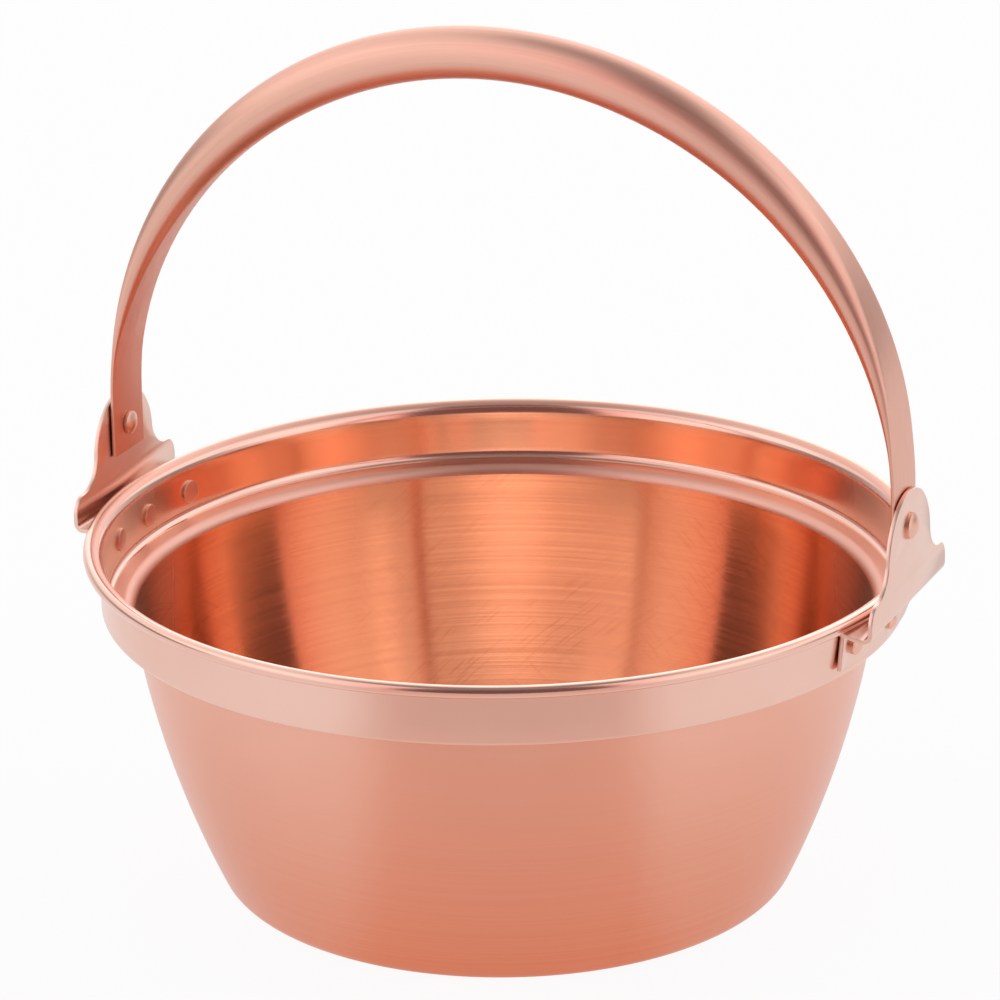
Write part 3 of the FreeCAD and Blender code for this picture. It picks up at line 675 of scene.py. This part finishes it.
# %% What the metal and the camera see of the floor
floor_place = place_of(tree)
floor_turn, _ = turn_from_camera(tree, floor_place)
wedge = add(tree, "ShaderNodeMapRange", {"Value": math_node(tree, "ABSOLUTE", floor_turn),
                                         "From Min": WEDGE_START, "From Max": WEDGE_END,
                                         "To Min": 1.0, "To Max": 0.0},
            interpolation_type="SMOOTHSTEP").outputs["Result"]
reach = add(tree, "ShaderNodeVectorMath", {0: floor_place}, operation="LENGTH").outputs["Value"]
far = add(tree, "ShaderNodeMapRange", {"Value": reach, "From Min": NEAR, "From Max": FAR,
                                       "To Min": FLOOR_NEAR, "To Max": FLOOR_CAMERA_SHADOW}).outputs["Result"]
# The wedge towards the camera is a painted shadow of the camera, and its warm tint is painted copper bounce
# light; the floor emits both, and only the metal's reflections see them.
shade = math_node(tree, "SUBTRACT", FLOOR_LEVEL, math_node(tree, "MULTIPLY", wedge, far))
painted_bounce_warmth = add(tree, "ShaderNodeMix", {"Factor": wedge}, data_type="RGBA")
painted_bounce_warmth.inputs["A"].default_value = (1, 1, 1, 1)
painted_bounce_warmth.inputs["B"].default_value = FLOOR_BOUNCE_TINT
seen = add(tree, "ShaderNodeLightPath")
white = add(tree, "ShaderNodeEmission", {"Strength": 1.0})
mirrored = add(tree, "ShaderNodeEmission", {"Color": painted_bounce_warmth.outputs["Result"], "Strength": shade})
share = math_node(tree, "MULTIPLY", seen.outputs["Is Camera Ray"], FLOOR_WHITE)
to_camera = add(tree, "ShaderNodeMixShader", {0: share, 1: floor_shader.outputs[0], 2: white.outputs[0]})
in_metal = math_node(tree, "MAXIMUM", seen.outputs["Is Glossy Ray"], seen.outputs["Is Transmission Ray"])
shown = add(tree, "ShaderNodeMixShader", {0: in_metal, 1: to_camera.outputs[0], 2: mirrored.outputs[0]})
tree.links.new(shown.outputs[0], tree.nodes["Material Output"].inputs["Surface"])
print("floor nodes", len(tree.nodes))

# %% [markdown]
# The studio is a white tent in four levels, one above the other. The walls have wide soft lights on both
# sides, and the wedge towards the camera is dark and a little red. The pot's inside wall shows that wedge
# twice over, as the two dark upright bands, and the brighter back of the tent as the warm column in the
# middle. Below the walls runs a skirt that is dim at the sides. The roof has the same dark wedge, which the
# front of the rolled rim shows as a thin dark strip, and a dimmer opening at the top.

# %% Levels of the tent
TENT = [(-180, 1.5), (-170, 1.4), (-152, 1.08), (-125, 1.02), (-112, 1.05), (-103, 1.32), (-60, 1.25),
        (-31, 1.2), (-29, 0.18), (29, 0.18), (31, 1.2), (60, 1.25), (88, 1.28), (91.5, 0.95), (93, 0.95),
        (96, 1.2), (120, 1.2), (145, 1.3), (158, 1.5), (170, 1.6), (180, 1.55)]
SKIRT = [(-180, 1.8), (-165, 1.4), (-150, 0.8), (-120, 0.35), (-103, 0.28), (-95, 0.38), (-86, 0.65),
         (-76, 1.1), (-45, 1.2), (-31, 1.1), (-27, 0.18), (27, 0.18), (31, 1.1), (45, 1.2), (70, 1.1),
         (87, 0.6), (96, 0.36), (105, 0.28), (120, 0.35), (150, 0.9), (165, 1.5), (180, 1.8)]
ROOF = [(-180, 0.95), (-34, 0.95), (-28, 0.2), (28, 0.2), (34, 0.95), (180, 0.95)]
SKYLIGHT = 0.3
WEDGE_TINT, WEDGE_EDGE = (1.0, 0.62, 0.6), 32
RAMP_TOP = 4.0


def tent_ring(tree, share, stops):
    """A ring of the tent as a colour ramp over the angle, from stops of (degrees from the camera, level)."""
    ring = add(tree, "ShaderNodeValToRGB", {"Fac": share})
    ring.color_ramp.interpolation = "LINEAR"
    for _ in stops[2:]:
        ring.color_ramp.elements.new(0.5)
    for element, (degrees, level) in zip(ring.color_ramp.elements, stops):
        tint = WEDGE_TINT if abs(degrees) < WEDGE_EDGE else (1, 1, 1)
        element.position = degrees / 360 + 0.5
        element.color = (*[level / RAMP_TOP * part for part in tint], 1)
    return ring.outputs["Color"]


def above(tree, height, fade, lower, upper):
    """One level of the tent fading into the next between two heights, which are sines of the elevation."""
    rise = add(tree, "ShaderNodeMapRange", {"Value": height, "From Min": fade[0], "From Max": fade[1]},
               interpolation_type="SMOOTHSTEP").outputs["Result"]
    mix = add(tree, "ShaderNodeMix", {"Factor": rise, "A": lower, "B": upper}, data_type="RGBA")
    return mix.outputs["Result"]


print("tent stops", len(TENT), len(SKIRT), len(ROOF))

# %% World
WALLS_FROM, ROOF_FROM, SKYLIGHT_FROM = (0.27, 0.34), (0.66, 0.76), (0.88, 0.95)
world = bpy.data.worlds.new("studio")
bpy.context.scene.world = world
world.use_nodes = True
tree = world.node_tree
turn, height = turn_from_camera(tree, add(tree, "ShaderNodeTexCoord").outputs["Generated"])
round_share = add(tree, "ShaderNodeMapRange", {"Value": turn, "From Min": -math.pi, "From Max": math.pi})
skirt, walls, roof = [tent_ring(tree, round_share.outputs["Result"], stops) for stops in (SKIRT, TENT, ROOF)]
skylight = add(tree, "ShaderNodeRGB").outputs[0]
skylight.default_value = (*[SKYLIGHT / RAMP_TOP] * 3, 1)
tent = above(tree, height, WALLS_FROM, skirt, walls)
tent = above(tree, height, ROOF_FROM, tent, roof)
tent = above(tree, height, SKYLIGHT_FROM, tent, skylight)
seen = add(tree, "ShaderNodeLightPath")
backdrop = add(tree, "ShaderNodeBackground", {"Color": tent, "Strength": RAMP_TOP})
plain_white = add(tree, "ShaderNodeBackground", {"Color": (1, 1, 1, 1), "Strength": 1.0})
view = add(tree, "ShaderNodeMixShader", {0: seen.outputs["Is Camera Ray"], 1: backdrop.outputs[0],
                                         2: plain_white.outputs[0]})
tree.links.new(view.outputs[0], tree.nodes["World Output"].inputs["Surface"])
print("world nodes", len(tree.nodes))

# %% [markdown]
# ## Finish
# The plain view transform keeps the colours as they were written.

# %% Set the view transform
bpy.context.scene.view_settings.view_transform = "Standard"
